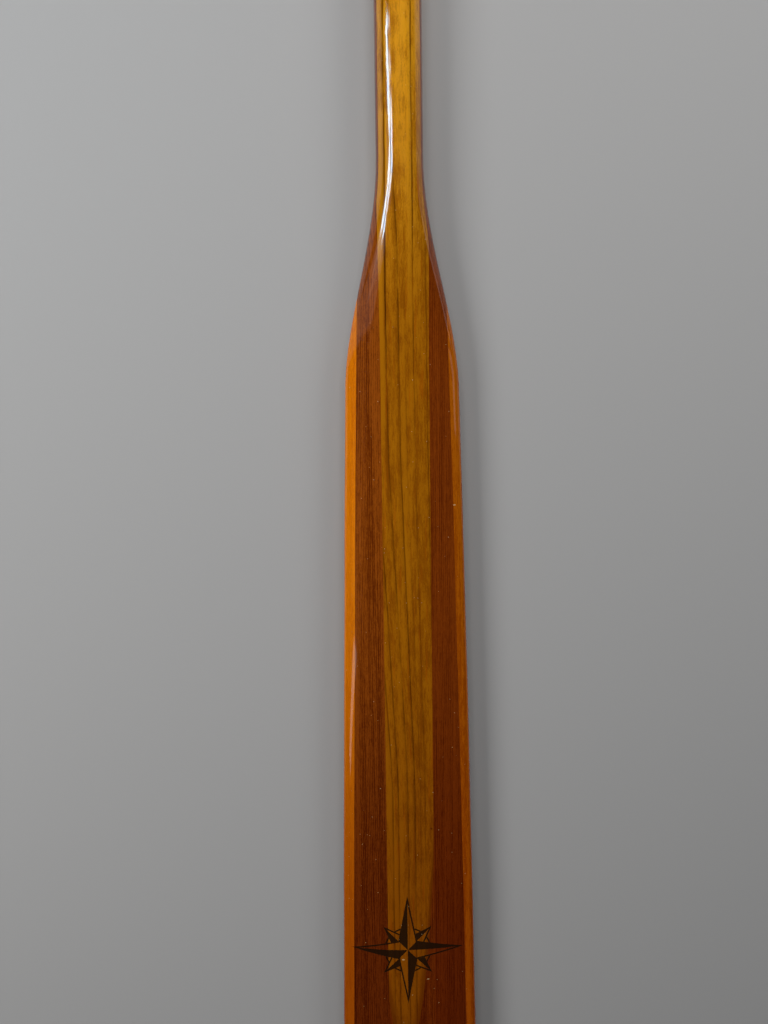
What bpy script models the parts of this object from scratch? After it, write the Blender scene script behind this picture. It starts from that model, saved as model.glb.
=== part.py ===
"""Laminated wooden double-bladed kayak paddle of the narrow Greenland kind.

+X runs along the paddle to the right blade, +Y to the blades' top edge, +Z out of the front face.
The origin is the middle of the loom, the straight grip between the two blades.

The paddle is made as a woodworker makes it. Boards are glued side by side into one blank,
and the blank is then carved: each board is a flat blank intersected with the carved form.
"""

import math

import bmesh
import bpy

# Loom and overall length
LENGTH = 2.180
LOOM_LENGTH = 0.463
LOOM_WIDTH = 0.0300
LOOM_THICKNESS = 0.0330
LOOM_FLAT_WIDTH = 0.0078

# Blade outline
SHOULDER_LENGTH = 0.1435
BLADE_ROOT_WIDTH = 0.0732
BLADE_TIP_WIDTH = 0.0935
BLADE_WIDENING = 1.5
TIP_LENGTH = 0.060
TIP_FULLNESS = 2.3
TIP_END_ANGLE = math.radians(86)

# Blade thickness
BLADE_ROOT_THICKNESS = 0.0248
BLADE_TIP_THICKNESS = 0.0117
EDGE_THICKNESS = 0.0052
EDGE_ROUNDING = 18
RIDGE_OFFSET = -0.0027

# Boards of the glue-up
CORE_WIDTH = 0.0307
CORE_OFFSET = 0.00145
CORE_SPARE = 0.00015
CORE_TAPER_LENGTH = 0.125
MIDDLE_STAVE_THICKNESS = 0.0160
STRIP_WIDTH = 0.0069
STRIP_OFFSET = 0.0003
GLUE_GAP = 0.0003
BLANK_MARGIN = 0.005

# Facets of the carved form
SHOULDER_STEPS = 12
BLADE_STEPS = 12
TIP_STEPS = 7
SECTION_STEPS = 7
SECTION_CROWDING = 1.3
SMOOTH_ANGLE = math.radians(32)

# Places that follow from the sizes, as distances from the middle of the loom
HALF_LENGTH = LENGTH / 2
SHOULDER_START = LOOM_LENGTH / 2
BLADE_START = SHOULDER_START + SHOULDER_LENGTH
TIP_START = HALF_LENGTH - TIP_LENGTH
BLANK_END = HALF_LENGTH + BLANK_MARGIN
BLANK_TOP = max(LOOM_THICKNESS, BLADE_ROOT_THICKNESS) / 2 + BLANK_MARGIN

# Woods: base colour, roughness and metallic value
YELLOW_WOOD = ((0.55, 0.25, 0.03, 1.0), 0.15, 0.0)
RED_CEDAR = ((0.17, 0.035, 0.008, 1.0), 0.15, 0.0)
AMBER_WOOD = ((0.62, 0.19, 0.015, 1.0), 0.15, 0.0)


def shoulder_share(s):
    """How far the section at distance s has turned from loom (0) to blade (1)."""
    t = min(max((s - SHOULDER_START) / SHOULDER_LENGTH, 0), 1)
    return t * t * (3 - 2 * t)


def mix(start, end, share):
    return start + (end - start) * share


def blade_share(s):
    """How far s lies along the blade, from its root (0) to where its tip starts to round (1)."""
    return min((s - BLADE_START) / (TIP_START - BLADE_START), 1)


def blade_edge(s):
    """Half width of the blade at s, before the shoulder and the tip are cut into it."""
    share = blade_share(s)
    if share < 0:
        widened = BLADE_WIDENING * share
    else:
        widened = 1 - (1 - share) ** BLADE_WIDENING
    return mix(BLADE_ROOT_WIDTH, BLADE_TIP_WIDTH, widened) / 2


def tip_position(s):
    """0 up to the tip's start, 1 at the paddle's very end."""
    return min(max((s - TIP_START) / TIP_LENGTH, 0), 1)


def tip_width_share(s):
    return (1 - tip_position(s) ** TIP_FULLNESS) ** (1 / TIP_FULLNESS)


def half_width(s):
    return mix(LOOM_WIDTH / 2, blade_edge(s) * tip_width_share(s), shoulder_share(s))


def loom_flat_angle():
    return math.asin(LOOM_FLAT_WIDTH / LOOM_WIDTH)


def loom_surface(angle):
    """Height of the loom's oval section, planed flat on its two faces."""
    oval = LOOM_THICKNESS / 2 / math.cos(loom_flat_angle())
    return min(LOOM_THICKNESS / 2, oval * math.cos(angle))


def blade_surface(s, across):
    """Height of the blade's section: a thin round-edged slab with a crown on top."""
    tip = tip_position(s)
    thickness = mix(BLADE_ROOT_THICKNESS, BLADE_TIP_THICKNESS, max(blade_share(s), 0))
    slab = EDGE_THICKNESS / 2 * math.sqrt((1 - across**EDGE_ROUNDING) * (1 - tip**EDGE_ROUNDING))
    crown = (thickness - EDGE_THICKNESS) / 2 * (1 - across**2) * (1 - tip**2)
    return slab + crown


def surface_point(x, angle):
    """Point of the carved front face: angle runs from -90 degrees at one edge to 90 at the other."""
    s = abs(x)
    across = math.sin(angle)
    shoulder = shoulder_share(s)
    ridge = RIDGE_OFFSET * shoulder * tip_width_share(s)
    y = half_width(s) * across + ridge * (1 - across**2)
    z = mix(loom_surface(angle), blade_surface(s, abs(across)), shoulder)
    return x, y, z


def section_angles():
    """Angles of the front face's points, from edge to edge, closer together towards the edges."""
    flat = loom_flat_angle()
    side = [
        mix(flat, math.pi / 2, 1 - (1 - i / SECTION_STEPS) ** SECTION_CROWDING)
        for i in range(SECTION_STEPS + 1)
    ]
    return [-angle for angle in reversed(side)] + [0] + side


def blade_stations():
    """Distances of the sections of one half, from the loom's end to the tip."""
    stations = [SHOULDER_START + SHOULDER_LENGTH * i / SHOULDER_STEPS for i in range(SHOULDER_STEPS)]
    stations += [mix(BLADE_START, TIP_START, i / BLADE_STEPS) for i in range(BLADE_STEPS + 1)]
    for i in range(1, TIP_STEPS + 1):
        along = math.sin(TIP_END_ANGLE * i / TIP_STEPS) ** (2 / TIP_FULLNESS)
        stations.append(TIP_START + TIP_LENGTH * along)
    return stations


def carved_form(collection):
    """The whole paddle's outer form, lofted through its sections. It only cuts the boards."""
    half = blade_stations()
    angles = section_angles()
    bm = bmesh.new()
    rings = []
    for x in [-s for s in reversed(half)] + half:
        front = [surface_point(x, angle) for angle in angles]
        back = [(px, py, -pz) for px, py, pz in reversed(front[1:-1])]
        rings.append([bm.verts.new(point) for point in front + back])
    for ring, following in zip(rings, rings[1:]):
        for i in range(len(ring)):
            j = (i + 1) % len(ring)
            bm.faces.new((ring[i], ring[j], following[j], following[i]))
    bm.faces.new(rings[0])
    bm.faces.new(rings[-1])
    bmesh.ops.triangulate(bm, faces=bm.faces)
    bmesh.ops.recalc_face_normals(bm, faces=bm.faces)
    mesh = bpy.data.meshes.new("carved_form")
    bm.to_mesh(mesh)
    bm.free()
    form = bpy.data.objects.new("carved_form", mesh)
    collection.objects.link(form)
    form.hide_render = True
    form.display_type = "WIRE"
    return form


def core_half_width(s):
    """The core is wide enough to hold the whole loom, and narrower between the cheeks."""
    at_loom = LOOM_WIDTH / 2 + abs(CORE_OFFSET) + CORE_SPARE
    share = min(max((s - SHOULDER_START) / CORE_TAPER_LENGTH, 0), 1)
    return mix(at_loom, CORE_WIDTH / 2, share)


def core_outline():
    """Plan of the three core staves, which run from tip to tip."""
    ends = [SHOULDER_START, SHOULDER_START + CORE_TAPER_LENGTH, BLANK_END]
    places = [-s for s in reversed(ends)] + ends
    top = [(x, CORE_OFFSET + core_half_width(abs(x))) for x in places]
    bottom = [(x, CORE_OFFSET - core_half_width(abs(x))) for x in reversed(places)]
    return top + bottom


def strip_line(s, side):
    """The glue line between cheek and edge strip, side being 1 for the top edge and -1 for the bottom."""
    return side * (blade_edge(s) - STRIP_WIDTH) + STRIP_OFFSET


def bent_line_places():
    """Places where the bent glue line of an edge strip has its points."""
    steps = SHOULDER_STEPS + BLADE_STEPS
    return [mix(SHOULDER_START, BLANK_END, i / steps) for i in range(steps + 1)]


def cheek_outline(end, side):
    """Plan of one cheek: along the core on its inner side and along the edge strip outside."""
    inner_places = [SHOULDER_START, SHOULDER_START + CORE_TAPER_LENGTH, BLANK_END]
    inner = [(s, CORE_OFFSET + side * (core_half_width(s) + GLUE_GAP)) for s in inner_places]
    outer = [(s, strip_line(s, side) - side * GLUE_GAP / 2) for s in reversed(bent_line_places())]
    return [(end * s, y) for s, y in inner + outer]


def strip_outline(end, side):
    """Plan of one edge strip, wide enough to reach past the blade's carved edge."""
    places = bent_line_places()
    inner = [(s, strip_line(s, side) + side * GLUE_GAP / 2) for s in places]
    outer = [(s, side * (blade_edge(s) + BLANK_MARGIN)) for s in reversed(places)]
    return [(end * s, y) for s, y in inner + outer]


def flat_blank(name, outline, bottom, top, collection):
    """A board as sawn: a flat outline with a thickness, as a closed mesh."""
    curve = bpy.data.curves.new(name, "CURVE")
    curve.dimensions = "2D"
    curve.fill_mode = "BOTH"
    curve.extrude = (top - bottom) / 2
    spline = curve.splines.new("POLY")
    spline.points.add(len(outline) - 1)
    spline.use_cyclic_u = True
    for point, (x, y) in zip(spline.points, outline):
        point.co = (x, y, 0, 1)
    guide = bpy.data.objects.new(name + "_guide", curve)
    guide.location.z = (bottom + top) / 2
    collection.objects.link(guide)
    bpy.context.view_layer.update()
    mesh = bpy.data.meshes.new_from_object(guide.evaluated_get(bpy.context.evaluated_depsgraph_get()))
    blank = bpy.data.objects.new(name, mesh)
    blank.matrix_world = guide.matrix_world
    collection.objects.link(blank)
    bpy.data.objects.remove(guide)

    bm = bmesh.new()
    bm.from_mesh(mesh)
    bmesh.ops.remove_doubles(bm, verts=bm.verts, dist=GLUE_GAP / 10)
    inside_caps = [edge for edge in bm.edges if all(abs(face.normal.z) > 0.5 for face in edge.link_faces)]
    bmesh.ops.dissolve_edges(bm, edges=inside_caps)
    bmesh.ops.recalc_face_normals(bm, faces=bm.faces)
    bm.to_mesh(mesh)
    bm.free()
    return blank


def carve(board, form):
    """Cuts a board to the paddle's form, and shades its carved faces smooth."""
    cut = board.modifiers.new("carved", "BOOLEAN")
    cut.operation = "INTERSECT"
    cut.solver = "MANIFOLD"
    cut.object = form
    bpy.context.view_layer.update()
    graph = bpy.context.evaluated_depsgraph_get()
    mesh = bpy.data.meshes.new_from_object(board.evaluated_get(graph))
    mesh.name = board.name
    board.modifiers.remove(cut)
    board.data = mesh
    mesh.shade_smooth()
    mesh.set_sharp_from_angle(angle=SMOOTH_ANGLE)


def finish_wood(board, wood):
    """Gives a board its own varnished wood material."""
    colour, roughness, metallic = wood
    material = bpy.data.materials.new(board.name)
    material.use_nodes = True
    shader = material.node_tree.nodes["Principled BSDF"]
    shader.inputs["Base Color"].default_value = colour
    shader.inputs["Roughness"].default_value = roughness
    shader.inputs["Metallic"].default_value = metallic
    material.diffuse_color = colour
    board.data.materials.clear()
    board.data.materials.append(material)


def boards():
    """Name, plan outline, lowest and highest Z, and wood of each board in the glue-up."""
    middle = MIDDLE_STAVE_THICKNESS / 2
    face = middle + GLUE_GAP / 2
    core = core_outline()
    made = [
        ("front_face_stave", core, face, BLANK_TOP, YELLOW_WOOD),
        ("middle_stave", core, GLUE_GAP / 2 - middle, middle - GLUE_GAP / 2, RED_CEDAR),
        ("back_face_stave", core, -BLANK_TOP, -face, YELLOW_WOOD),
    ]
    for blade, end in (("right_blade", 1), ("left_blade", -1)):
        for edge, side in (("top", 1), ("bottom", -1)):
            cheek = cheek_outline(end, side)
            strip = strip_outline(end, side)
            made.append((f"{blade}_{edge}_cheek", cheek, -BLANK_TOP, BLANK_TOP, RED_CEDAR))
            made.append((f"{blade}_{edge}_edge_strip", strip, -BLANK_TOP, BLANK_TOP, AMBER_WOOD))
    return made


def new_collection(name):
    collection = bpy.data.collections.new(name)
    bpy.context.scene.collection.children.link(collection)
    return collection


def main():
    for obj in list(bpy.data.objects):
        bpy.data.objects.remove(obj)
    paddle = new_collection("kayak_paddle")
    cutters = new_collection("cutters")
    form = carved_form(cutters)
    root = bpy.data.objects.new("kayak_paddle", None)
    paddle.objects.link(root)
    for name, outline, bottom, top, wood in boards():
        board = flat_blank(name, outline, bottom, top, paddle)
        carve(board, form)
        finish_wood(board, wood)
        board.parent = root


main()
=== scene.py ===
"""The looks of a laminated, varnished wooden kayak paddle, lying on a pale studio floor.

Everything is in metres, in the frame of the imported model: +X runs along the paddle to the right
blade, +Y to the blades' top edge and +Z out of the front face. The origin is the middle of the
loom. Each packed board is replaced by a finer one, cut by the same glue planes out of the same
carved form. The bright line on the loom is a window's reflection in the varnish.
"""

import math
from collections import Counter

import bpy
from mathutils import Matrix, Quaternion, Vector, noise


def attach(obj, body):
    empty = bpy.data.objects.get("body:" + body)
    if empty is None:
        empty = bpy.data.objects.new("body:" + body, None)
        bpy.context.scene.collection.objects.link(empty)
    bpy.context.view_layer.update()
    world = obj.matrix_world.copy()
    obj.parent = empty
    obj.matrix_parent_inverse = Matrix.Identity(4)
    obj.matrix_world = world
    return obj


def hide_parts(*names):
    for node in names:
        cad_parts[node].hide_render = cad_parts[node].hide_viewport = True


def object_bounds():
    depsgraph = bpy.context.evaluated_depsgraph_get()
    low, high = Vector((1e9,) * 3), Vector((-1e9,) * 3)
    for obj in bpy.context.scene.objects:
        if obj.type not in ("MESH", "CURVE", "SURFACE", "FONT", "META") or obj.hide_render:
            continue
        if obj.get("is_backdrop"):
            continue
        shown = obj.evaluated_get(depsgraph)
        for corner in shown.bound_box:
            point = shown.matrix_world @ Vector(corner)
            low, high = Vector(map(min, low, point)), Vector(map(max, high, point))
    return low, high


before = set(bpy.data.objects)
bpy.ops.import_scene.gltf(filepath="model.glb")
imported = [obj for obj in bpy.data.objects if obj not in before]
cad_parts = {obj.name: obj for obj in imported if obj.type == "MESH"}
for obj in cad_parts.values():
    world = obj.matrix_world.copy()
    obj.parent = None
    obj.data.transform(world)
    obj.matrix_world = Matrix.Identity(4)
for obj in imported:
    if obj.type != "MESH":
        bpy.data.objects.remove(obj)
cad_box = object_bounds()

MM = 0.001

# Loom and overall length
HALF_LENGTH = cad_box[1].x
LOOM_LENGTH = 0.463
LOOM_WIDTH = 0.0300
LOOM_THICKNESS = cad_box[1].z - cad_box[0].z
LOOM_FLAT_WIDTH = 0.0078
LOOM_SOFTENING = 0.0007

# Blade outline, with how soon it reaches its full width and how full its tip is, as powers
SHOULDER_LENGTH = 0.1435
BLADE_ROOT_WIDTH = 0.0732
BLADE_TIP_WIDTH = cad_box[1].y - cad_box[0].y
BLADE_WIDENING = 1.5
TIP_START = 1.030
TIP_FULLNESS = 2.3

# Blade thickness, with how squarely its edge is rounded, as a power, and how far its ridge lies off
# the middle line
BLADE_ROOT_THICKNESS = 0.0248
BLADE_TIP_THICKNESS = 0.0117
EDGE_THICKNESS = 0.0052
EDGE_ROUNDING = 18
RIDGE_OFFSET = -0.0027

# Glue planes between the boards, with how far they lie off the middle line and how much wider than
# the loom the core is there
CORE_WIDTH = 0.0307
CORE_OFFSET = 0.00145
CORE_SPARE = 0.00015
CORE_TAPER_LENGTH = 0.125
FACE_GLUE_HEIGHT = 0.0080
STRIP_WIDTH = 0.0069
STRIP_OFFSET = 0.0003

# Unevenness left by hand carving, always inwards: its depth at one loom thickness from the middle
# line, its length along the paddle and how fast it changes round it
CARVING_DEPTH = 0.00035
CARVING_LENGTH = 0.060
CARVING_TURN = 0.8

# Fineness of the boards' meshes, in steps along and round the paddle
LOOM_STEPS = 24
SHOULDER_STEPS = 36
BLADE_STEPS = 60
TIP_STEPS = 18
FACE_STEPS = 26
SIDE_STEPS = 12
CHEEK_STEPS = 12
STRIP_STEPS = 14

# Fineness of the sums: the step that slopes are taken over, the distance at which points count as
# one, how often a crossing is halved, and the angles and slopes that count as none
SLOPE_STEP = 0.00005
MERGE = 1e-7
HALVINGS = 40
NO_ANGLE = 1e-6
STAVE_END_ANGLE = 1e-5
NO_SLOPE = 1e-6

# Distances from the middle of the loom that follow from the sizes, and the tip's length
SHOULDER_START = LOOM_LENGTH / 2
BLADE_START = SHOULDER_START + SHOULDER_LENGTH
TIP_LENGTH = HALF_LENGTH - TIP_START

# The form angle at the paddle's edge
EDGE = math.pi / 2


def mix(start, end, share):
    return start + (end - start) * share


def clamp(value, lowest=0.0, highest=1.0):
    return min(max(value, lowest), highest)


# The carved form


def shoulder_share(s):
    """How far the section at distance s has turned from loom (0) to blade (1)."""
    t = clamp((s - SHOULDER_START) / SHOULDER_LENGTH)
    return t * t * (3 - 2 * t)


def blade_share(s):
    """How far s lies along the blade, from its root (0) to where its tip starts to round (1)."""
    return min((s - BLADE_START) / (TIP_START - BLADE_START), 1)


def blade_edge(s):
    """Half width of the blade at s, before the shoulder and the tip are cut into it."""
    share = blade_share(s)
    widened = BLADE_WIDENING * share if share < 0 else 1 - (1 - share) ** BLADE_WIDENING
    return mix(BLADE_ROOT_WIDTH, BLADE_TIP_WIDTH, widened) / 2


def tip_position(s):
    """0 up to the tip's start, 1 at the paddle's very end."""
    return clamp((s - TIP_START) / TIP_LENGTH)


def tip_width_share(s):
    return (1 - tip_position(s) ** TIP_FULLNESS) ** (1 / TIP_FULLNESS)


def half_width(s):
    return mix(LOOM_WIDTH / 2, blade_edge(s) * tip_width_share(s), shoulder_share(s))


def ridge_offset(s):
    return RIDGE_OFFSET * shoulder_share(s) * tip_width_share(s)


def loom_height(upward):
    """Height of the loom's oval section, planed flat on its faces with softened arrises."""
    flat_share = LOOM_FLAT_WIDTH / LOOM_WIDTH
    oval = LOOM_THICKNESS / 2 / math.sqrt(1 - flat_share**2) * upward
    flat = LOOM_THICKNESS / 2
    spread = math.hypot(oval - flat, LOOM_SOFTENING) - LOOM_SOFTENING * clamp((flat - oval) / flat)
    return (oval + flat - spread) / 2 - LOOM_SOFTENING / 2 * clamp(oval / flat)


def blade_height(s, across):
    """Height of the blade's section: a thin round-edged slab with a crown on top."""
    tip = tip_position(s)
    thickness = mix(BLADE_ROOT_THICKNESS, BLADE_TIP_THICKNESS, max(blade_share(s), 0))
    slab = EDGE_THICKNESS / 2 * math.sqrt((1 - across**EDGE_ROUNDING) * (1 - tip**EDGE_ROUNDING))
    crown = (thickness - EDGE_THICKNESS) / 2 * (1 - across**2) * (1 - tip**2)
    return slab + crown


def carving(x, angle):
    """Share by which the carver has gone below the fair form, a slow wave along and round it."""
    place = Vector((x / CARVING_LENGTH, math.sin(angle) * CARVING_TURN, math.cos(angle) * CARVING_TURN))
    depth = CARVING_DEPTH * (0.5 + 0.5 * noise.noise(place))
    return clamp(depth, 0, CARVING_DEPTH) / LOOM_THICKNESS


def form_point(x, angle):
    """Point of the form: angle 0 is the front ridge, 90 degrees the top edge, 180 the back ridge."""
    s = min(abs(x), HALF_LENGTH)
    across = math.sin(angle)
    upward = abs(math.cos(angle))
    height = mix(loom_height(upward), blade_height(s, abs(across)), shoulder_share(s))
    y = half_width(s) * across + ridge_offset(s) * upward**2
    fairness = 1 - carving(x, angle)
    return Vector((x, y * fairness, math.copysign(height, math.cos(angle)) * fairness))


def form_normal(x, angle):
    """Outward normal of the form, from its slopes along and round the paddle."""
    before = max(x - SLOPE_STEP, -HALF_LENGTH)
    after = min(x + SLOPE_STEP, HALF_LENGTH)
    along = form_point(after, angle) - form_point(before, angle)
    turn = SLOPE_STEP / LOOM_WIDTH
    round_ = form_point(x, angle + turn) - form_point(x, angle - turn)
    normal = along.cross(round_)
    if normal.length < SLOPE_STEP**2 * NO_SLOPE:
        return Vector((math.copysign(1, x), 0, 0))
    outward = Vector((0, math.sin(angle), math.cos(angle)))
    return normal.normalized() if normal.dot(outward) > 0 else -normal.normalized()


# The glue planes


def core_half_width(s):
    """The core is wide enough to hold the whole loom, and narrower between the cheeks."""
    at_loom = LOOM_WIDTH / 2 + abs(CORE_OFFSET) + CORE_SPARE
    return mix(at_loom, CORE_WIDTH / 2, clamp((s - SHOULDER_START) / CORE_TAPER_LENGTH))


def core_line(s, side):
    return CORE_OFFSET + side * core_half_width(s)


def strip_line(s, side):
    return side * (blade_edge(s) - STRIP_WIDTH) + STRIP_OFFSET


def angle_at(s, y):
    """Angle on the front face at which the section at s lies at y, or its edge if it ends before."""
    width, ridge = half_width(s), ridge_offset(s)
    if abs(y) >= width:
        return math.copysign(EDGE, y)
    if abs(ridge) < MERGE:
        return math.asin(y / width)
    return math.asin(clamp((width - math.sqrt(width**2 - 4 * ridge * (y - ridge))) / (2 * ridge), -1, 1))


def face_glue_angle(s):
    """Angle at which the form sinks to the height of the glue plane under the face staves."""
    low, high = 0.0, EDGE
    for _ in range(HALVINGS):
        middle = (low + high) / 2
        height = mix(loom_height(math.cos(middle)), blade_height(s, math.sin(middle)), shoulder_share(s))
        low, high = (middle, high) if height > FACE_GLUE_HEIGHT else (low, middle)
    return low if low > NO_ANGLE else 0.0


def yellow_overhang(s, side):
    """How far, as an angle, the face staves' glue plane reaches past the core's side."""
    return face_glue_angle(s) - abs(angle_at(s, core_line(s, side)))


def crossing(gap, start, end):
    """Distance between start and end at which the function gap changes its sign."""
    rising = gap(end) > gap(start)
    for _ in range(HALVINGS):
        middle = (start + end) / 2
        if (gap(middle) > 0) == rising:
            end = middle
        else:
            start = middle
    return (start + end) / 2


def face_stave_end():
    """Distance at which the carving has gone right through the face staves."""
    return crossing(lambda s: face_glue_angle(s) - STAVE_END_ANGLE, BLADE_START, TIP_START)


def stations():
    """Distances of one half's sections, with one wherever a board starts, ends or meets a new plane."""
    loom = [SHOULDER_START * i / LOOM_STEPS for i in range(LOOM_STEPS)]
    shoulder = [SHOULDER_START + SHOULDER_LENGTH * i / SHOULDER_STEPS for i in range(SHOULDER_STEPS)]
    blade = [mix(BLADE_START, TIP_START, i / BLADE_STEPS) for i in range(BLADE_STEPS + 1)]
    tip = [
        TIP_START + TIP_LENGTH * math.sin(EDGE * i / TIP_STEPS) ** (2 / TIP_FULLNESS)
        for i in range(1, TIP_STEPS + 1)
    ]
    found = [face_stave_end()]
    for side in (1, -1):
        for line in (core_line, strip_line):
            for start, end in ((SHOULDER_START, BLADE_START), (TIP_START, HALF_LENGTH)):
                found.append(crossing(lambda s: half_width(s) - side * line(s, side), start, end))
        for start, end in ((SHOULDER_START, BLADE_START), (BLADE_START, TIP_START)):
            found.append(crossing(lambda s: yellow_overhang(s, side), start, end))
    return sorted(set(loom + shoulder + blade + tip + found))


def all_stations():
    half = stations()
    return [-s for s in reversed(half[1:])] + half


# The boards, as rings of points. A point is a position, and its form angle where it is carved.


def carved(x, start, end, steps):
    """Points on the form from one angle to another."""
    angles = [mix(start, end, i / steps) for i in range(steps + 1)]
    return [(form_point(x, angle), angle) for angle in angles]


def mirrored_angle(angle):
    """The angle straight behind the given one."""
    return math.pi - angle


def face_stave_ring(x, back):
    """A face stave's section: the form above its glue plane, between the core's two sides."""
    s = abs(x)
    reach = face_glue_angle(s)
    low = max(-reach, angle_at(s, core_line(s, -1)))
    high = min(reach, angle_at(s, core_line(s, 1)))
    if back:
        low, high = mirrored_angle(low), mirrored_angle(high)
    ring = carved(x, low, high, FACE_STEPS)
    glue = []
    for point, _ in (ring[-1], ring[0]):
        height = min(abs(point.z), FACE_GLUE_HEIGHT)
        glue.append((Vector((x, point.y, math.copysign(height, point.z))), None))
    return ring + glue


def pointed(ring):
    """The ring drawn together into one point, as at a face stave's end."""
    tip = sum((point for point, _ in ring), Vector()) / len(ring)
    return [(tip, angle) for _, angle in ring]


def face_stave_rings(places, back):
    rings = [face_stave_ring(x, back) for x in places]
    return [pointed(rings[0]), *rings[1:-1], pointed(rings[-1])]


def middle_stave_ring(x):
    """The middle stave's section, flat under the face staves and carved where it comes out."""
    s = abs(x)
    reach = face_glue_angle(s)
    low, high = angle_at(s, core_line(s, -1)), angle_at(s, core_line(s, 1))
    inner_low, inner_high = max(-reach, low), min(reach, high)
    ring = []
    for angles in ((low, inner_low), (inner_high, high)):
        ring += carved(x, *angles, SIDE_STEPS)
    for angles in ((high, inner_high), (inner_low, low)):
        ring += carved(x, *map(mirrored_angle, angles), SIDE_STEPS)
    capped = []
    for point, angle in ring:
        height = min(abs(point.z), FACE_GLUE_HEIGHT)
        under_glue = height < abs(point.z)
        place = Vector((x, point.y, math.copysign(height, point.z)))
        capped.append((place, None if under_glue else angle))
    return capped


def cheek_ring(x, side):
    """A cheek's section, between the core and the edge strip."""
    s = abs(x)
    inner, outer = angle_at(s, core_line(s, side)), angle_at(s, strip_line(s, side))
    front = carved(x, inner, outer, CHEEK_STEPS)
    return front + carved(x, mirrored_angle(outer), mirrored_angle(inner), CHEEK_STEPS)


def strip_ring(x, side):
    """An edge strip's section, from its glue line round the edge to the back."""
    inner = angle_at(abs(x), strip_line(abs(x), side))
    edge = side * EDGE
    front = carved(x, inner, edge, STRIP_STEPS)
    back = mirrored_angle(inner) if side > 0 else mirrored_angle(inner) - 2 * math.pi
    return front + carved(x, edge, back, STRIP_STEPS)[1:]


def faces_between(rings):
    """Faces from each ring to the next: corners by their rounded place, and the side's number.

    The number is 0 on the side that closes the ring, which lies on a glue plane.
    """
    for ring, following in zip(rings, rings[1:]):
        for i, j in enumerate([*range(1, len(ring)), 0]):
            corners = {}
            for point, angle in (ring[i], ring[j], following[j], following[i]):
                rounded = tuple(round(value / MERGE) for value in point)
                corners.setdefault(rounded, (point, angle))
            if len(corners) >= 3:
                yield corners, j


def carved_normals(corners, side_number):
    """The form's normals at a face's corners, or None for each where the face is a glued one."""
    angles = [angle for _, angle in corners.values()]
    if side_number == 0 or None in angles or max(angles) - min(angles) >= EDGE:
        return [None] * len(angles)
    return [form_normal(point.x, angle) for point, angle in corners.values()]


def loft(name, rings):
    """A closed mesh through the rings, with the form's own normals on every carved face.

    Where a board starts as a sliver with no thickness, its two sides are the same face, and both
    are left out.
    """
    faces = list(faces_between(rings))
    copies = Counter(frozenset(corners) for corners, _ in faces)
    faces = [(corners, side_number) for corners, side_number in faces if copies[frozenset(corners)] == 1]
    places, numbers = [], {}
    for corners, _ in faces:
        for key, (point, _) in corners.items():
            if key not in numbers:
                numbers[key] = len(places)
                places.append(point)

    mesh = bpy.data.meshes.new(name)
    vertex_lists = [[numbers[key] for key in corners] for corners, _ in faces]
    mesh.from_pydata([tuple(place) for place in places], [], vertex_lists)
    centre = sum(places, Vector()) / len(places)
    volume = sum((mesh.vertices[p.vertices[0]].co - centre).dot(p.normal) * p.area for p in mesh.polygons)
    if volume < 0:
        mesh.flip_normals()
    mesh.shade_smooth()
    loop_normals = []
    for polygon, vertices, face in zip(mesh.polygons, vertex_lists, faces):
        by_vertex = dict(zip(vertices, carved_normals(*face)))
        for loop in polygon.loop_indices:
            normal = by_vertex[mesh.loops[loop].vertex_index]
            loop_normals.append(tuple(polygon.normal if normal is None else normal))
    mesh.normals_split_custom_set(loop_normals)
    return bpy.data.objects.new(name, mesh)


# Shader graphs


class Wire:
    """A shader socket that can be added and multiplied, so that a graph reads as a formula."""

    def __init__(self, tree, socket):
        self.tree = tree
        self.socket = socket

    def math(self, operation, *others):
        node = self.tree.nodes.new("ShaderNodeMath")
        node.operation = operation
        for socket, value in zip(node.inputs, (self, *others)):
            plug(self.tree, value, socket)
        return Wire(self.tree, node.outputs[0])

    def __add__(self, other):
        return self.math("ADD", other)

    def __sub__(self, other):
        return self.math("SUBTRACT", other)

    def __mul__(self, other):
        return self.math("MULTIPLY", other)

    def __truediv__(self, other):
        return self.math("DIVIDE", other)

    def absolute(self):
        return self.math("ABSOLUTE")

    def smooth(self, start, end):
        """0 below start and 1 above end, or the other way round, with a soft step between."""
        node = self.tree.nodes.new("ShaderNodeMapRange")
        node.interpolation_type = "SMOOTHSTEP"
        for name, value in (("Value", self), ("From Min", start), ("From Max", end)):
            plug(self.tree, value, node.inputs[name])
        return Wire(self.tree, node.outputs["Result"])


def plug(tree, value, socket):
    """Links a wire to a socket, or sets the socket to a plain number or colour."""
    if isinstance(value, Wire):
        tree.links.new(value.socket, socket)
    else:
        socket.default_value = value


def vector(tree, x, y, z):
    node = tree.nodes.new("ShaderNodeCombineXYZ")
    for socket, value in zip(node.inputs, (x, y, z)):
        plug(tree, value, socket)
    return Wire(tree, node.outputs[0])


def streaks(tree, place, length, width, seed=0.0, detail=2.0, roughness=0.5):
    """Noise from 0 to 1 drawn out along the paddle, with streaks of the given length and width."""
    x, y, z = place
    node = tree.nodes.new("ShaderNodeTexNoise")
    node.inputs["Scale"].default_value = 1.0
    node.inputs["Detail"].default_value = detail
    node.inputs["Roughness"].default_value = roughness
    plug(tree, vector(tree, x / length + seed, y / width, z / width), node.inputs["Vector"])
    return Wire(tree, node.outputs["Fac"])


def blend(tree, share, start, end, kind="MIX"):
    """Colour between start and end, or with the kind MULTIPLY between start and their product."""
    node = tree.nodes.new("ShaderNodeMix")
    node.data_type = "RGBA"
    node.blend_type = kind
    plug(tree, share, node.inputs["Factor"])
    for name, value in (("A", start), ("B", end)):
        socket = next(s for s in node.inputs if s.name == name and s.type == "RGBA")
        plug(tree, value, socket)
    return Wire(tree, next(s for s in node.outputs if s.type == "RGBA"))


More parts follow.
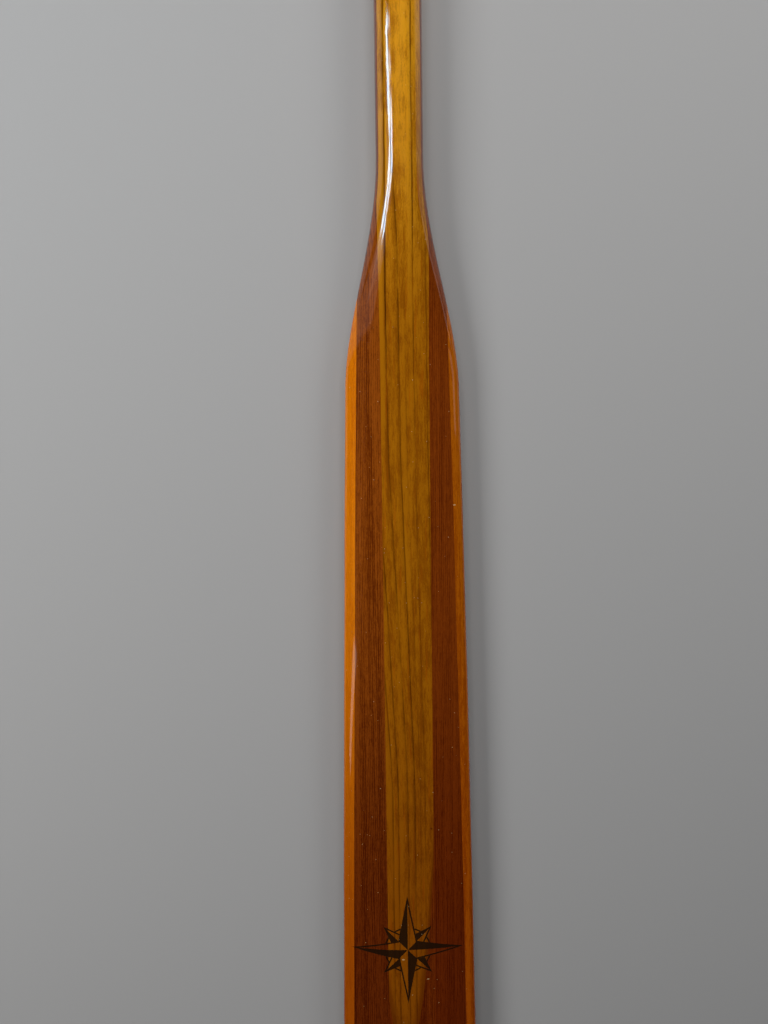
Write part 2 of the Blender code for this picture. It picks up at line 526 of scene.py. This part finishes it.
def object_place(tree):
    """The place on the paddle, as three wires in metres."""
    coordinates = tree.nodes.new("ShaderNodeTexCoord")
    split = tree.nodes.new("ShaderNodeSeparateXYZ")
    tree.links.new(coordinates.outputs["Object"], split.inputs[0])
    return [Wire(tree, socket) for socket in split.outputs]


def rgb(red, green, blue):
    return (red, green, blue, 1.0)


WHITE = rgb(1.0, 1.0, 1.0)


# The woods

YELLOW_LOOM = rgb(0.78, 0.340, 0.012)
YELLOW_LOOM_DEEP = rgb(0.46, 0.163, 0.004)
YELLOW_BLADE = rgb(0.44, 0.150, 0.0030)
YELLOW_BLADE_DEEP = rgb(0.28, 0.078, 0.0016)
YELLOW_THIN = rgb(0.20, 0.045, 0.0015)
GROWTH_LINE_TINT = rgb(0.30, 0.24, 0.18)
RESIN = rgb(0.42, 0.085, 0.001)
CEDAR_PALE = rgb(0.300, 0.062, 0.0045)
CEDAR_DEEP = rgb(0.120, 0.017, 0.0012)
AMBER_PALE = rgb(0.66, 0.190, 0.0035)
AMBER_DEEP = rgb(0.46, 0.105, 0.0015)
DUST = rgb(0.85, 0.58, 0.27)
INK = rgb(0.019, 0.008, 0.003)

# Towards its ends the paddle is darker and redder
CORE_END_TINT = rgb(0.72, 0.57, 0.58)
END_REACH = (0.45, 0.76)

# The core's growth lines: millimetres from the middle line at the left blade's middle and root,
# in the loom, and at the right blade's root and middle, how dark the line is in the loom and on
# the blades, and how soft it is
GROWTH_LINE_PLACES = ((-0.66, -0.37), (-0.31, -0.20), (0.20, 0.31), (0.37, 0.66))
GROWTH_LINES = (
    (-13.0, -11.5, -25.0, -24.0, -9.5, 0.8, 0.6, 0.6),
    (-8.0, -7.5, -20.0, -17.0, -6.0, 0.6, 0.6, 0.6),
    (-3.0, -4.5, -9.4, -10.0, 0.3, 0.85, 0.45, 0.9),
    (1.5, 0.5, -6.3, -2.2, 4.8, 0.6, 0.5, 0.9),
    (4.5, 3.0, 0.5, 1.8, 8.4, 0.2, 0.4, 0.4),
    (9.0, 8.0, 7.3, 7.0, 11.4, 1.0, 0.5, 0.35),
    (15.5, 15.0, 14.8, 15.3, 18.5, 0.5, 0.6, 0.4),
)
LINE_CORE = 0.8 * MM
LINE_FADE = 3.2 * MM
LINE_WOBBLE = 0.6 * MM
LINE_DARKNESS = 0.7

# The cedar's growth lines, the thickness below which the yellow face lets the cedar show, and the
# one small knot
PINSTRIPE_PITCH = 1.15 * MM
THIN_YELLOW_DEPTH = 0.22 * MM
PIN_KNOT_PLACE = (0.661, 0.0153)
PIN_KNOT_RADIUS = 0.9 * MM

# The woods' streaks: their length and width, a number that sets their noise apart, and contrast
YELLOW_STREAKS = ((200 * MM, 7 * MM, 0, 1.6), (50 * MM, 1.8 * MM, 3, 0.65), (15 * MM, 5 * MM, 5, 1.4))
CEDAR_STREAKS = ((300 * MM, 5 * MM, 2, 1.2), (30 * MM, 0.6 * MM, 7, 0.7))
AMBER_STREAKS = ((250 * MM, 3 * MM, 0, 1.2), (30 * MM, 0.7 * MM, 7, 0.5), (12 * MM, 3 * MM, 5, 0.6))
FIBRE_STREAKS = ((6 * MM, 0.9 * MM, 13, 1.3), (1.4 * MM, 0.5 * MM, 17, 1.1))
YELLOW_FIBRES, CEDAR_FIBRES, AMBER_FIBRES = 1.0, 0.8, 0.7

# Patches where the yellow wood is deeper (above 0) or paler (below 0) than its streaks make it:
# how much, then where it fades in and out across the paddle in millimetres, and along it in metres.
# The first two run beside the core's bottom side on the right blade. The other four are painted
# light and shade by the right shoulder: on the top side a painted paler stretch as far as the
# shoulder that turns deeper there, and on the bottom side a patch of painted shade and then,
# further out, one of painted light.
TONE_AND_PAINTED_LIGHT_PATCHES = (
    (-0.40, (-10.6, -12.8), None, (0.26, 0.30), (0.50, 0.42)),
    (0.40, (-7.0, -10.3), (-11.2, -10.4), (0.26, 0.30), (0.50, 0.42)),
    (-0.35, (5.0, 11.0), None, None, (0.27, 0.25)),
    (0.75, (5.0, 11.0), None, (0.16, 0.22), (0.27, 0.25)),
    (0.30, (-6.0, -10.0), None, (0.165, 0.185), (0.215, 0.20)),
    (-0.60, (-6.0, -10.0), None, (0.205, 0.22), (0.27, 0.24)),
)


def uneven(tree, place, length, width, seed, contrast):
    """Streaks that vary about 0, to be added to a share."""
    return (streaks(tree, place, length, width, seed) - 0.5) * contrast


def grain(tree, place, seed, rows, fibre_contrast):
    """A wood's streaks and its fine fibres together, varying about 0."""
    total = None
    for length, width, own_seed, contrast in rows:
        streak = uneven(tree, place, length, width, seed + own_seed, contrast)
        total = streak if total is None else total + streak
    for length, width, own_seed, contrast in FIBRE_STREAKS:
        total = total + uneven(tree, place, length, width, seed + own_seed, contrast * fibre_contrast)
    return total


def growth_lines(tree, place):
    """How dark the core's growth lines are: a crisp side towards +Y and a soft one behind it."""
    x, y, _ = place
    turns = [x.smooth(*ends) for ends in GROWTH_LINE_PLACES]
    outward = x.absolute().smooth(0.27, 0.40)
    wobble = uneven(tree, (x, 0.0, 0.0), 90 * MM, 1.0, 4.3, 3.0) * LINE_WOBBLE
    wobble = wobble + uneven(tree, place, 12 * MM, 4 * MM, 6.1, 0.5) * MM
    total = None
    for *offsets, in_loom, on_blade, softness in GROWTH_LINES:
        line = wobble + offsets[0] * MM
        for turn, before, after in zip(turns, offsets, offsets[1:]):
            line = line + turn * ((after - before) * MM)
        behind = y - line
        crisp = behind.absolute().smooth(LINE_CORE, 0.0)
        soft = behind.smooth(-LINE_FADE, 0.0) * behind.smooth(LINE_CORE, 0.0)
        darkness = outward * (on_blade - in_loom) + in_loom
        shade = (crisp * LINE_DARKNESS + soft * softness) * darkness
        total = shade if total is None else total + shade
    patchy = streaks(tree, place, 30 * MM, 2.5 * MM, 8.8).smooth(0.25, 0.6) * 0.5 + 0.5
    return (total * patchy).smooth(0.0, 1.15)


def pin_knot(x, y):
    dx, dy = x - PIN_KNOT_PLACE[0], y - PIN_KNOT_PLACE[1]
    return (dx * dx + dy * dy).math("SQRT").smooth(PIN_KNOT_RADIUS, PIN_KNOT_RADIUS / 3)


def tone_and_painted_light_patches(x, y):
    """The sum of the patches at a place, most of them painted light and shade by the right shoulder."""
    total = None
    for depth, across_in, across_out, along_in, along_out in TONE_AND_PAINTED_LIGHT_PATCHES:
        patch = y.smooth(across_in[0] * MM, across_in[1] * MM) * depth
        if across_out:
            patch = patch * y.smooth(across_out[0] * MM, across_out[1] * MM)
        if along_in:
            patch = patch * x.smooth(*along_in)
        patch = patch * x.smooth(*along_out)
        total = patch if total is None else total + patch
    return total


def yellow_colour(tree, place, seed, contrast):
    x, y, z = place
    outward = x.absolute().smooth(0.17, 0.36)
    pale = blend(tree, outward, YELLOW_LOOM, YELLOW_BLADE)
    deep = blend(tree, outward, YELLOW_LOOM_DEEP, YELLOW_BLADE_DEEP)
    # The patches add painted light and shade by the right shoulder to the wood's own streaks
    share = grain(tree, place, seed, YELLOW_STREAKS, YELLOW_FIBRES) + tone_and_painted_light_patches(x, y)
    colour = blend(tree, (share * contrast + 0.42).smooth(0.0, 1.0), pale, deep)
    resin = streaks(tree, place, 30 * MM, 1.6 * MM, seed + 9).smooth(0.58, 0.76)
    colour = blend(tree, resin * 0.5, colour, RESIN)
    colour = blend(tree, growth_lines(tree, place), colour, GROWTH_LINE_TINT, "MULTIPLY")
    colour = blend(tree, pin_knot(x, y) * 0.8, colour, CEDAR_DEEP)
    thickness = z.absolute() - FACE_GLUE_HEIGHT
    return blend(tree, thickness.smooth(THIN_YELLOW_DEPTH, 0.0) * 0.75, colour, YELLOW_THIN)


def cedar_colour(tree, place, seed, contrast):
    bend = uneven(tree, place, 500 * MM, 12 * MM, seed + 4, 6.0) * PINSTRIPE_PITCH
    ring = ((place[1] + bend) / PINSTRIPE_PITCH).math("FRACT")
    late_wood = ring.smooth(0.30, 0.80) * ring.smooth(1.0, 0.90)
    depth = streaks(tree, place, 120 * MM, 2.2 * MM, seed + 1).smooth(0.35, 0.7)
    share = grain(tree, place, seed, CEDAR_STREAKS, CEDAR_FIBRES) + late_wood * (depth * 0.45 + 0.15)
    return blend(tree, ((share - 0.15) * contrast + 0.45).smooth(0.0, 1.0), CEDAR_PALE, CEDAR_DEEP)


def amber_colour(tree, place, seed, contrast):
    share = grain(tree, place, seed, AMBER_STREAKS, AMBER_FIBRES)
    return blend(tree, (share * contrast + 0.4).smooth(0.0, 1.0), AMBER_PALE, AMBER_DEEP)


# Dust on the varnish: how long and wide the cell of each speck is, how large a speck can get in
# its cell, and what share of the cells has none
DUST_CELLS = (
    (3.2 * MM, 3.2 * MM, 0.085, 0.45),
    (19 * MM, 19 * MM, 0.032, 0.55),
    (45 * MM, 13 * MM, 0.030, 0.60),
    (15 * MM, 34 * MM, 0.030, 0.70),
)
DUST_SHIFT = 7.0
DUST_COVER = 0.6


def dusted(tree, place, colour):
    """Sparse pale specks and lint that settled on the varnish."""
    x, y, z = place
    specks = None
    for number, (length, width, size, bare) in enumerate(DUST_CELLS):
        cells = tree.nodes.new("ShaderNodeTexVoronoi")
        cells.inputs["Scale"].default_value = 1.0
        cell_place = vector(tree, x / length + DUST_SHIFT * number, y / width, z / width)
        plug(tree, cell_place, cells.inputs["Vector"])
        channels = tree.nodes.new("ShaderNodeSeparateColor")
        tree.links.new(cells.outputs["Color"], channels.inputs[0])
        radius = Wire(tree, channels.outputs["Red"]).smooth(bare, 1.0) * size
        speck = Wire(tree, cells.outputs["Distance"]).math("LESS_THAN", radius)
        specks = speck if specks is None else specks.math("MAXIMUM", speck)
    return blend(tree, specks * DUST_COVER, colour, DUST)


# The mark on the right blade's front: a plain compass rose

ROSE_PLACE = (0.743, -0.0010)
ROSE_LONG_POINT = 0.0370
ROSE_SHORT_POINT = 0.0225
ROSE_WAIST = 0.0062
ROSE_RING = 0.0150
ROSE_LINE = 0.00050
ROSE_SOFTNESS = 0.00018
ROSE_DARKNESS = 0.96


def point_edge(major, minor, tip, waist):
    """Distance inside the straight edge that runs from a point's tip to its waist on the diagonal."""
    run = tip - waist
    return (major * waist + minor * run - tip * waist) * (-1 / math.hypot(waist, run))


def compass_rose(place):
    """Ink of an eight-pointed rose whose points are half filled, with a thin ring behind them."""
    x, y, z = place
    dx, dy = x - ROSE_PLACE[0], y - ROSE_PLACE[1]
    ax, ay = dx.absolute(), dy.absolute()
    major, minor = ax.math("MAXIMUM", ay), ax.math("MINIMUM", ay)
    long_inside = point_edge(major, minor, ROSE_LONG_POINT, ROSE_WAIST)
    half = math.sqrt(0.5)
    along, beside = (ax + ay) * half, (ax - ay).absolute() * half
    short_inside = point_edge(along, beside, ROSE_SHORT_POINT, ROSE_WAIST)
    turning = (dx * dy).math("SIGN") * (ax - ay).math("SIGN")

    def solid(inside):
        return inside.smooth(-ROSE_SOFTNESS, ROSE_SOFTNESS)

    def line(away):
        return away.absolute().smooth(ROSE_LINE + ROSE_SOFTNESS, ROSE_LINE - ROSE_SOFTNESS)

    long_filled = solid(long_inside) * turning.math("GREATER_THAN", 0.0)
    long_ink = long_filled.math("MAXIMUM", line(long_inside - ROSE_LINE))
    clear = solid(long_inside).math("LESS_THAN", 0.5)
    short_filled = solid(short_inside) * turning.math("LESS_THAN", 0.0)
    short_ink = short_filled.math("MAXIMUM", line(short_inside - ROSE_LINE)) * clear
    clear = clear * solid(short_inside).math("LESS_THAN", 0.5)
    ring = line((dx * dx + dy * dy).math("SQRT") - ROSE_RING) * clear
    ink = long_ink.math("MAXIMUM", short_ink).math("MAXIMUM", ring)
    return ink * z.math("GREATER_THAN", 0.0)


# The varnish, which is a clear coat with a faint orange peel over matt wood

ORANGE_PEEL_LENGTH = 6 * MM
ORANGE_PEEL_HEIGHT = 0.004 * MM
WOOD_ROUGHNESS = 0.6
VARNISH_ROUGHNESS = 0.06
VARNISH_IOR = 1.5


def varnish_surface(tree, place):
    """The varnish's own slight unevenness, as a normal for its gloss."""
    noise_field = streaks(tree, place, 2 * ORANGE_PEEL_LENGTH, ORANGE_PEEL_LENGTH, 2.2, detail=1.0)
    bump = tree.nodes.new("ShaderNodeBump")
    bump.inputs["Distance"].default_value = ORANGE_PEEL_HEIGHT
    plug(tree, noise_field, bump.inputs["Height"])
    return Wire(tree, bump.outputs["Normal"])


def varnished(name, colour_of, seed, tint=WHITE, end_tint=CORE_END_TINT, contrast=1.0, marked=False):
    """A wood under several coats of gloss varnish, with its tints near the loom and at the ends."""
    material = bpy.data.materials.new(name)
    material.use_nodes = True
    tree = material.node_tree
    shader = tree.nodes["Principled BSDF"]
    place = object_place(tree)
    # Tints of the wood; on the right blade's side boards they are partly painted light and shade
    tint_and_painted_light = blend(tree, place[0].absolute().smooth(*END_REACH), tint, end_tint)
    colour = blend(tree, 1.0, colour_of(tree, place, seed, contrast), tint_and_painted_light, "MULTIPLY")
    if marked:
        colour = blend(tree, compass_rose(place) * ROSE_DARKNESS, colour, INK)
    plug(tree, dusted(tree, place, colour), shader.inputs["Base Color"])
    shader.inputs["Roughness"].default_value = WOOD_ROUGHNESS
    shader.inputs["Specular IOR Level"].default_value = 0.0
    shader.inputs["Coat Weight"].default_value = 1.0
    shader.inputs["Coat Roughness"].default_value = VARNISH_ROUGHNESS
    shader.inputs["Coat IOR"].default_value = VARNISH_IOR
    plug(tree, varnish_surface(tree, place), shader.inputs["Coat Normal"])
    return material


# Floor, light and camera

FLOOR_RADIUS = 5.0
FLOOR_COLOUR = rgb(0.46, 0.455, 0.45)
FLOOR_ROUGHNESS = 0.8
BACKDROP_BEND = 2.0
BACKDROP_HEIGHT = 5.0
BACKDROP_CURVE_STEPS = 10
STAGE_SEGMENTS = 64

CAMERA_PLACE = Vector((0.422, -0.0127, 0.4958))
CAMERA_TILT = math.radians(3.7)
CAMERA_ROLL = math.radians(0.794)
FOCAL_LENGTH_IN_PIXELS = 769
IMAGE_HEIGHT = 1024
SENSOR_WIDTH = 36.0
NEAREST_SEEN = 0.01

# Colours of the lights
NEUTRAL = (1.0, 1.0, 1.0)
SKY = (0.61, 0.84, 1.0)
COOL = (0.92, 0.96, 1.0)
WARM = (1.0, 0.90, 0.84)


def circle(radius, height):
    """Points round the stage's middle."""
    turns = [2 * math.pi * k / STAGE_SEGMENTS for k in range(STAGE_SEGMENTS)]
    return [(radius * math.cos(turn), radius * math.sin(turn), height) for turn in turns]


def add_stage(name, points, faces, material):
    """A piece of the surroundings, which isn't part of the paddle."""
    mesh = bpy.data.meshes.new(name)
    mesh.from_pydata(points, [], faces)
    mesh.shade_smooth()
    mesh.materials.append(material)
    stage = bpy.data.objects.new(name, mesh)
    bpy.context.scene.collection.objects.link(stage)
    stage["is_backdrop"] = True
    return stage


def make_floor(height):
    """A round pale floor, and round it a backdrop that curves up from its rim.

    The backdrop neither lights the paddle nor shows in its varnish.
    """
    material = bpy.data.materials.new("pale_floor")
    material.use_nodes = True
    shader = material.node_tree.nodes["Principled BSDF"]
    shader.inputs["Base Color"].default_value = FLOOR_COLOUR
    shader.inputs["Roughness"].default_value = FLOOR_ROUGHNESS
    add_stage("floor", circle(FLOOR_RADIUS, height), [range(STAGE_SEGMENTS)], material)
    points = []
    for i in range(BACKDROP_CURVE_STEPS + 1):
        turn = EDGE * i / BACKDROP_CURVE_STEPS
        radius = FLOOR_RADIUS + BACKDROP_BEND * math.sin(turn)
        points += circle(radius, height + BACKDROP_BEND * (1 - math.cos(turn)))
    points += circle(FLOOR_RADIUS + BACKDROP_BEND, height + BACKDROP_HEIGHT)
    faces = []
    for row in range(0, len(points) - STAGE_SEGMENTS, STAGE_SEGMENTS):
        for k in range(STAGE_SEGMENTS):
            a, b = row + k, row + (k + 1) % STAGE_SEGMENTS
            faces.append((b, a, a + STAGE_SEGMENTS, b + STAGE_SEGMENTS))
    backdrop = add_stage("backdrop", points, faces, material)
    backdrop.visible_diffuse = False
    backdrop.visible_glossy = False


def softbox(name, place, target, length, height, radiance, colour, roll=0.0):
    """A rectangular light at place, facing target, with its length level or rolled by some degrees."""
    light = bpy.data.lights.new(name, "AREA")
    light.shape = "RECTANGLE"
    light.size = length
    light.size_y = height
    light.energy = radiance * length * height * math.pi
    light.color = colour
    box = bpy.data.objects.new(name, light)
    box.visible_camera = False
    box.location = place
    box.rotation_mode = "QUATERNION"
    facing = (Vector(target) - Vector(place)).to_track_quat("-Z", "Y")
    box.rotation_quaternion = facing @ Quaternion((0, 0, 1), math.radians(roll))
    bpy.context.scene.collection.objects.link(box)
    return box


def pane(name, start, end, low, high, radiance, distance, colour):
    """A light beside the paddle, from start to end along it and between two elevations in degrees."""
    middle, half = math.radians(high + low) / 2, math.radians(high - low) / 2
    x = (start + end) / 2
    place = (x, -distance * math.cos(middle), distance * math.sin(middle))
    height = 2 * distance * math.tan(half)
    return softbox(name, place, (x, 0, 0), end - start, height, radiance, colour)


# The window whose reflection runs down the loom, as panes: start and end along the paddle, lowest
# and highest elevation in degrees, and brightness as a share of the window's
WINDOW_RADIANCE = 25
WINDOW_DISTANCE = 0.9
WINDOW_PANES = (
    (-0.347, -0.344, 29.0, 37.5, 0.7),
    (-0.344, -0.334, 30.0, 42.5, 0.95),
    (-0.342, -0.324, 44.5, 57.5, 0.42),
    (-0.334, -0.324, 26.5, 42.5, 1.0),
    (-0.324, -0.314, 22.0, 37.0, 1.0),
    (-0.314, -0.302, 27.0, 34.5, 0.9),
    (-0.302, -0.292, 26.5, 39.5, 0.95),
    (-0.292, -0.282, 27.5, 38.0, 0.85),
    (-0.282, -0.262, 26.5, 41.0, 1.0),
    (-0.262, -0.250, 28.0, 42.0, 1.0),
    (-0.278, -0.262, 46.0, 57.0, 0.42),
    (-0.262, -0.243, 48.0, 62.0, 0.38),
    (-0.250, -0.212, 30.5, 46.0, 0.95),
    (-0.212, -0.183, 32.5, 47.0, 1.0),
    (-0.208, -0.183, 51.0, 65.0, 0.65),
    (-0.183, -0.157, 35.5, 48.5, 1.05),
    (-0.157, -0.142, 39.0, 48.5, 1.1),
    (-0.142, -0.132, 43.5, 48.5, 0.4),
    (-0.132, -0.104, 40.0, 47.5, 1.1),
    (-0.104, -0.072, 33.5, 47.0, 1.05),
    (-0.183, -0.080, 54.0, 66.0, 0.9),
    (-0.072, -0.062, 32.0, 45.5, 1.05),
    (-0.062, -0.055, 28.5, 41.5, 1.05),
    (-0.055, -0.047, 27.5, 38.5, 1.1),
    (-0.047, -0.040, 24.5, 36.0, 1.1),
    (-0.040, -0.024, 26.0, 34.0, 1.25),
    (-0.080, -0.062, 54.5, 65.0, 1.1),
    (-0.062, -0.053, 49.5, 62.0, 1.1),
    (-0.053, -0.045, 45.0, 59.5, 1.1),
    (-0.045, -0.036, 43.0, 54.5, 1.05),
    (-0.036, -0.027, 42.5, 50.0, 1.05),
    (-0.027, -0.018, 40.5, 46.0, 1.05),
    (-0.018, -0.009, 38.5, 43.0, 1.05),
    (-0.009, 0.012, 37.5, 43.0, 1.3),
)

# The glow round that window, and a low one: name, start and end along the paddle, lowest and
# highest elevation in degrees, radiance, distance and colour
GLOWS = (
    ("window_glow", -0.34, -0.02, 20, 62, 0.5, 0.9, COOL),
    ("window_end_glow", -0.045, 0.030, 27, 43, 1.2, 0.9, WARM),
    ("window_sill_glow", 0.030, 0.075, 30, 54, 0.5, 0.9, WARM),
    ("low_glow", -0.07, 0.13, 1, 50, 0.4, 1.0, WARM),
)

# Softboxes that show in the varnish, and others that brighten the wood and the floor: name, place,
# target, length, height, radiance, colour and roll in degrees
SEEN_SOFTBOXES = (
    ("edge_softbox", (0.85, -0.666, 0.605), (0.85, 0, 0), 0.24, 0.085, 2.4, WARM, -27),
    ("low_far_softbox", (0.085, 0.7, 0.11), (0.085, 0, 0.11), 0.233, 0.07, 0.8, WARM, -43),
    ("high_far_softbox", (0.28, 0.7, 0.33), (0.28, 0, 0), 0.17, 0.10, 0.8, WARM, 0),
)
FELT_SOFTBOXES = (
    ("overhead_fill", (-0.40, 0.0, 1.20), (0.0, 0, 0), 0.9, 0.6, 4.4, NEUTRAL, 0),
    ("far_side_fill", (-0.50, 0.90, 0.80), (0.0, 0, 0), 0.8, 0.5, 4.3, NEUTRAL, 0),
    ("near_side_fill", (0.40, -0.90, 0.80), (0.40, 0, 0), 0.9, 0.5, 4.7, NEUTRAL, 0),
)

# The backdrop's lights stand round the paddle with their backs to it: how many, how far out and
# how high, how far out on the floor they aim, and their length, height and radiance
BACKDROP_LIGHTS = 8
BACKDROP_LIGHT_DISTANCE = 1.9
BACKDROP_LIGHT_HEIGHT = 1.0
BACKDROP_LIGHT_AIM = 3.6
BACKDROP_LIGHT = (1.4, 0.8, 3.2)

WORLD_COLOUR = rgb(0.9, 0.95, 1.0)
WORLD_STRENGTH = 0.05


def seen_only(light):
    """Leaves a light to the varnish's reflections alone."""
    light.visible_diffuse = False


def felt_only(light):
    """Lets a light brighten surfaces without being seen in the varnish."""
    light.visible_glossy = False


def make_window():
    """The window and the glow round it, seen in the varnish alone."""
    for number, (start, end, low, high, share) in enumerate(WINDOW_PANES):
        radiance = WINDOW_RADIANCE * share
        name = f"window_pane_{number}"
        seen_only(pane(name, start, end, low, high, radiance, WINDOW_DISTANCE, SKY))
    for glow in GLOWS:
        seen_only(pane(*glow))


def light_backdrop():
    """A ring of lights for the backdrop and the outer floor."""
    for number in range(BACKDROP_LIGHTS):
        turn = 2 * math.pi * number / BACKDROP_LIGHTS
        outward = Vector((math.cos(turn), math.sin(turn), 0))
        place = BACKDROP_LIGHT_DISTANCE * outward + Vector((0, 0, BACKDROP_LIGHT_HEIGHT))
        target = BACKDROP_LIGHT_AIM * outward
        felt_only(softbox(f"backdrop_light_{number}", place, target, *BACKDROP_LIGHT, NEUTRAL))


def make_world():
    """A faint light from all round, which doesn't show in the varnish."""
    world = bpy.data.worlds.new("studio")
    bpy.context.scene.world = world
    world.use_nodes = True
    background = world.node_tree.nodes["Background"]
    background.inputs["Color"].default_value = WORLD_COLOUR
    background.inputs["Strength"].default_value = WORLD_STRENGTH
    world.cycles_visibility.glossy = False


def make_light():
    make_window()
    for box in SEEN_SOFTBOXES:
        seen_only(softbox(*box))
    for box in FELT_SOFTBOXES:
        felt_only(softbox(*box))
    light_backdrop()
    make_world()


def make_camera():
    """The photographer's view: from above, tilted a little along the paddle and rolled a little."""
    camera = bpy.data.cameras.new("camera")
    camera.sensor_width = SENSOR_WIDTH
    camera.lens = FOCAL_LENGTH_IN_PIXELS * SENSOR_WIDTH / IMAGE_HEIGHT
    camera.clip_start = NEAREST_SEEN
    forward = Vector((math.sin(CAMERA_TILT), 0, -math.cos(CAMERA_TILT)))
    down = Vector((math.cos(CAMERA_TILT), 0, math.sin(CAMERA_TILT)))
    right = Vector((0, 1, 0))
    rolled_right = math.cos(CAMERA_ROLL) * right + math.sin(CAMERA_ROLL) * down
    rolled_down = math.cos(CAMERA_ROLL) * down - math.sin(CAMERA_ROLL) * right
    axes = Matrix((rolled_right, -rolled_down, -forward)).transposed().to_4x4()
    holder = bpy.data.objects.new("camera", camera)
    holder.matrix_world = Matrix.Translation(CAMERA_PLACE) @ axes
    bpy.context.scene.collection.objects.link(holder)
    bpy.context.scene.camera = holder


# Putting it together

# The boards' tints near the loom and at the blade's end, to multiply the wood's colour with,
# and how strong their grain is. On the left blade the tints are the boards' own differences in
# tone. On the right blade they are partly that and partly painted light and shade: its bottom-edge
# boards, on the side the light comes from, are painted lighter near the loom and darken more
# towards the end, and its top-edge boards are painted darker.
BOARD_TINTS_AND_PAINTED_LIGHT = {
    "right_blade_top_cheek": (rgb(0.94, 0.88, 0.87), rgb(0.63, 0.44, 0.50), 0.7),
    "right_blade_bottom_cheek": (rgb(1.12, 1.26, 1.20), rgb(0.60, 0.48, 0.60), 1.1),
    "right_blade_top_edge_strip": (rgb(0.80, 0.70, 0.80), rgb(0.72, 0.50, 0.52), 2.0),
    "right_blade_bottom_edge_strip": (rgb(1.38, 1.36, 1.00), rgb(0.71, 0.51, 0.60), 0.8),
    "left_blade_top_cheek": (rgb(1.02, 1.04, 1.00), rgb(0.74, 0.60, 0.60), 1.1),
    "left_blade_bottom_cheek": (rgb(0.94, 0.92, 0.95), rgb(0.68, 0.52, 0.60), 0.9),
    "left_blade_top_edge_strip": (rgb(1.10, 1.08, 1.00), rgb(0.78, 0.62, 0.60), 1.0),
    "left_blade_bottom_edge_strip": (rgb(0.96, 0.90, 0.95), rgb(0.76, 0.58, 0.60), 1.2),
}


def add_board(node, name, rings, material):
    """Lofts a board and puts it in the place of a packed one."""
    board = loft(name, rings)
    board.data.materials.append(material)
    bpy.context.scene.collection.objects.link(board)
    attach(board, "root")
    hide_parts(node)


def add_side_board(node, slot, colour_of, ring_at, places, side):
    """A cheek or edge strip of one blade; only the right blade's boards carry the mark."""
    end = math.copysign(1, places[0])
    # A number that no other board has, so that no two boards share their grain
    seed = 50.0 + 10 * end + 3 * side + (30 if slot == "amber_wood" else 0)
    # On the right blade the board's tints include painted light and shade
    material = varnished(f"{node}_wood", colour_of, seed, *BOARD_TINTS_AND_PAINTED_LIGHT[node], marked=end > 0)
    add_board(node, f"{node}_board", [ring_at(x, side) for x in places], material)


def make_boards():
    """The three staves of the core, and each blade's cheeks and edge strips."""
    every = all_stations()
    faces = varnished("yellow_front", yellow_colour, 11.0, marked=True)
    backs = varnished("yellow_back", yellow_colour, 23.0)
    middle = varnished("cedar_middle", cedar_colour, 37.0, marked=True)
    faced_length = face_stave_end()
    faced = [x for x in every if abs(x) <= faced_length]
    add_board("front_face_stave", "front_stave", face_stave_rings(faced, False), faces)
    add_board("back_face_stave", "back_stave", face_stave_rings(faced, True), backs)
    add_board("middle_stave", "core_stave", [middle_stave_ring(x) for x in every], middle)
    for blade, end in (("right_blade", 1), ("left_blade", -1)):
        places = [x for x in every if x * end >= SHOULDER_START]
        for edge, side in (("top", 1), ("bottom", -1)):
            cheek, strip = f"{blade}_{edge}_cheek", f"{blade}_{edge}_edge_strip"
            add_side_board(cheek, "red_cedar", cedar_colour, cheek_ring, places, side)
            add_side_board(strip, "amber_wood", amber_colour, strip_ring, places, side)


make_camera()
make_boards()
make_floor(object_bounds()[0].z)
make_light()
bpy.context.scene.view_settings.view_transform = "Standard"

boxes = [[list(corner) for corner in box] for box in (cad_box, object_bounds())]
